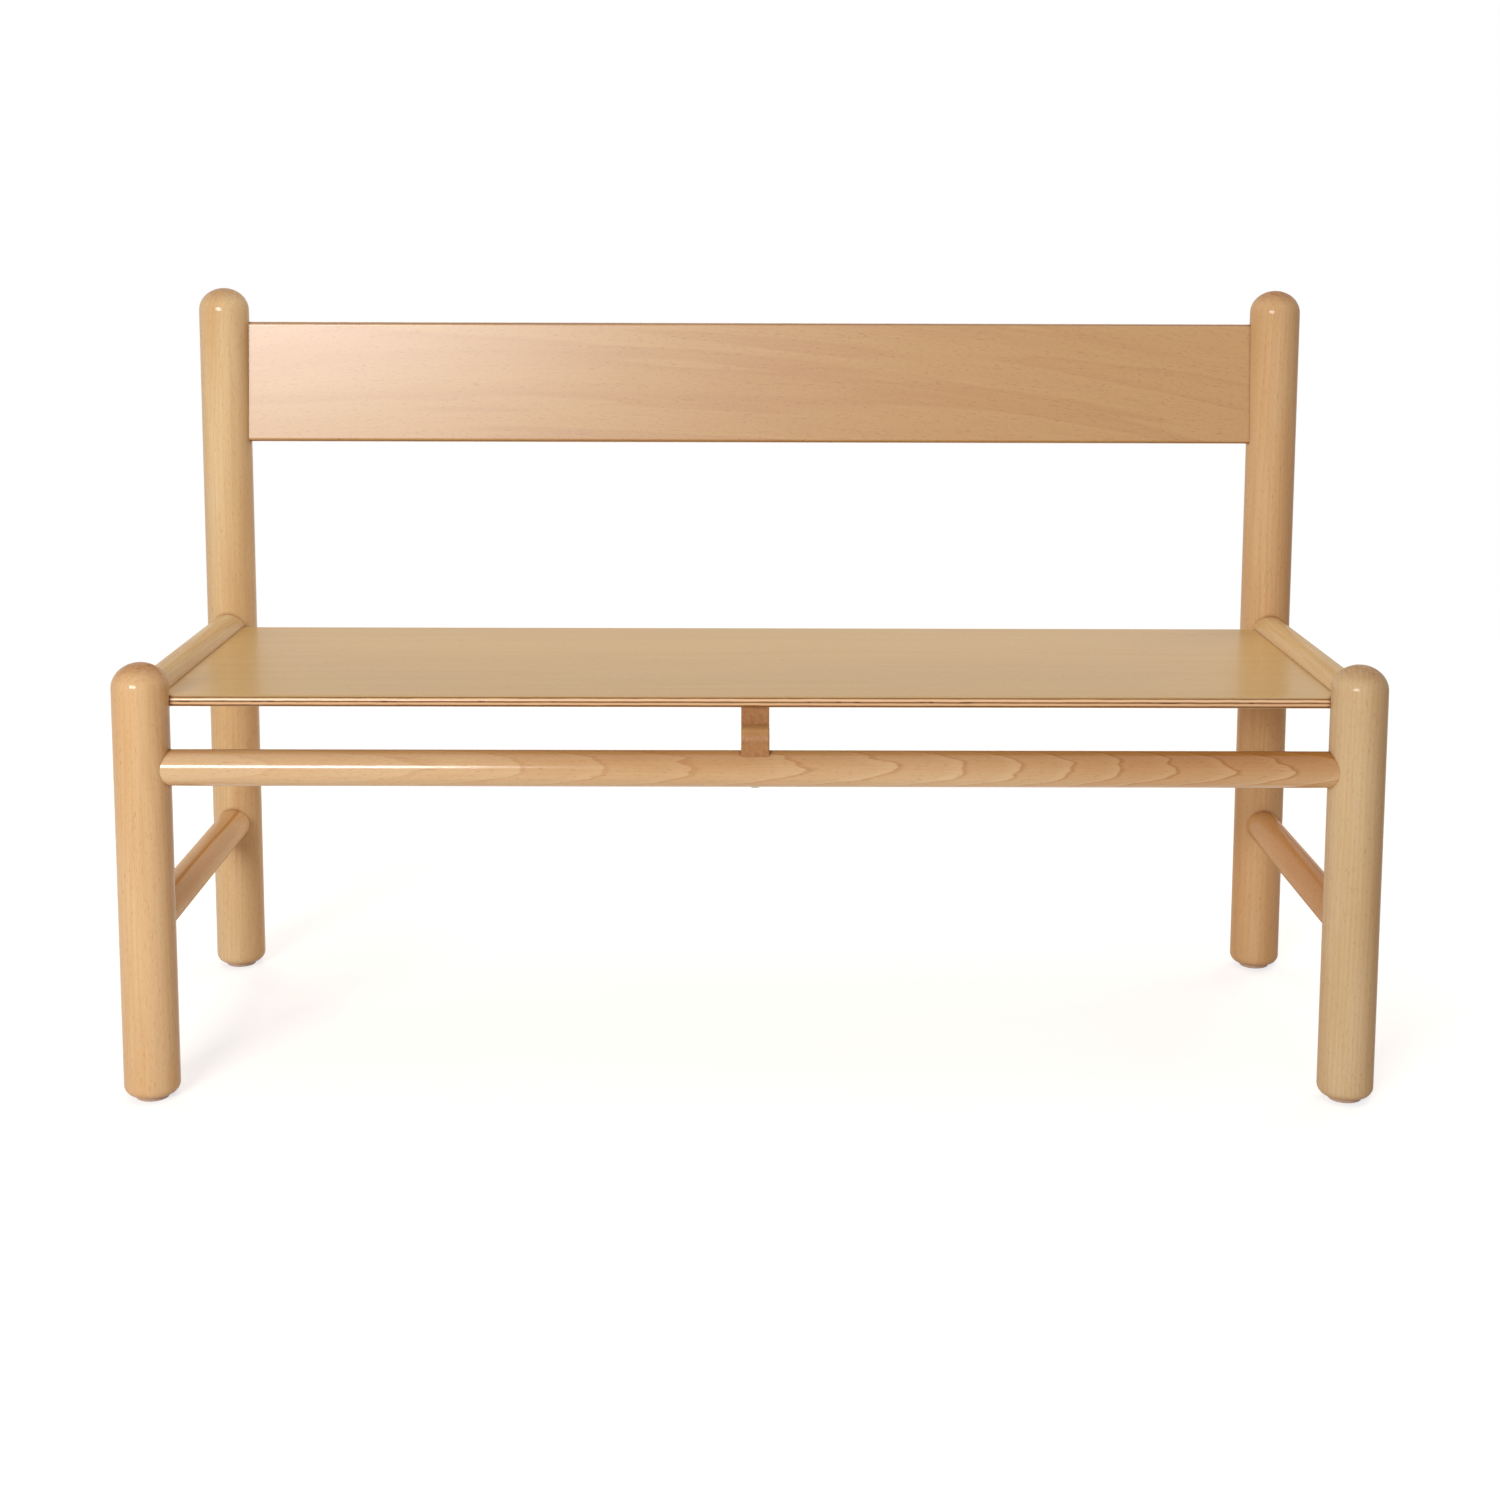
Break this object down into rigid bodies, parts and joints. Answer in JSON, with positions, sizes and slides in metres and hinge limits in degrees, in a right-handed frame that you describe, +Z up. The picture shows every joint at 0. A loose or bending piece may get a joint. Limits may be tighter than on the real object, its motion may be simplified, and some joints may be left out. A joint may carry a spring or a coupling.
{
  "type": "children's bench",
  "caption": "Low wooden bench for small children: round domed posts joined by round rails and stretchers, a plywood seat let into the side rails and a plywood backrest let into the back posts.",
  "frame": {"origin": "on the floor, below the middle of the bench", "axes": "+X to the right along the bench as seen from the front, +Y to the back, +Z up"},
  "size_m": [0.9, 0.3399, 0.5704],
  "materials": {
    "beech": "clear satin lacquer on turned beech",
    "plywood": "clear lacquer on beech-faced plywood",
    "steel": "zinc plated",
    "glide_plastic": "moulded, satin"
  },
  "bodies": {
    "root": {"front_leg_left": "beech", "front_leg_right": "beech", "back_post_left": "beech", "back_post_right": "beech", "seat_rail_left": "beech", "seat_rail_right": "beech", "side_stretcher_left": "beech", "side_stretcher_right": "beech", "front_stretcher": "beech", "rear_stretcher": "beech", "front_seat_block": "beech", "rear_seat_block": "beech", "seat_panel": "plywood", "backrest_panel": "plywood", "block_screws": "steel", "glide_nails": "steel", "glide_front_left": "glide_plastic", "glide_front_right": "glide_plastic", "glide_back_left": "glide_plastic", "glide_back_right": "glide_plastic"}
  },
  "joints": []
}
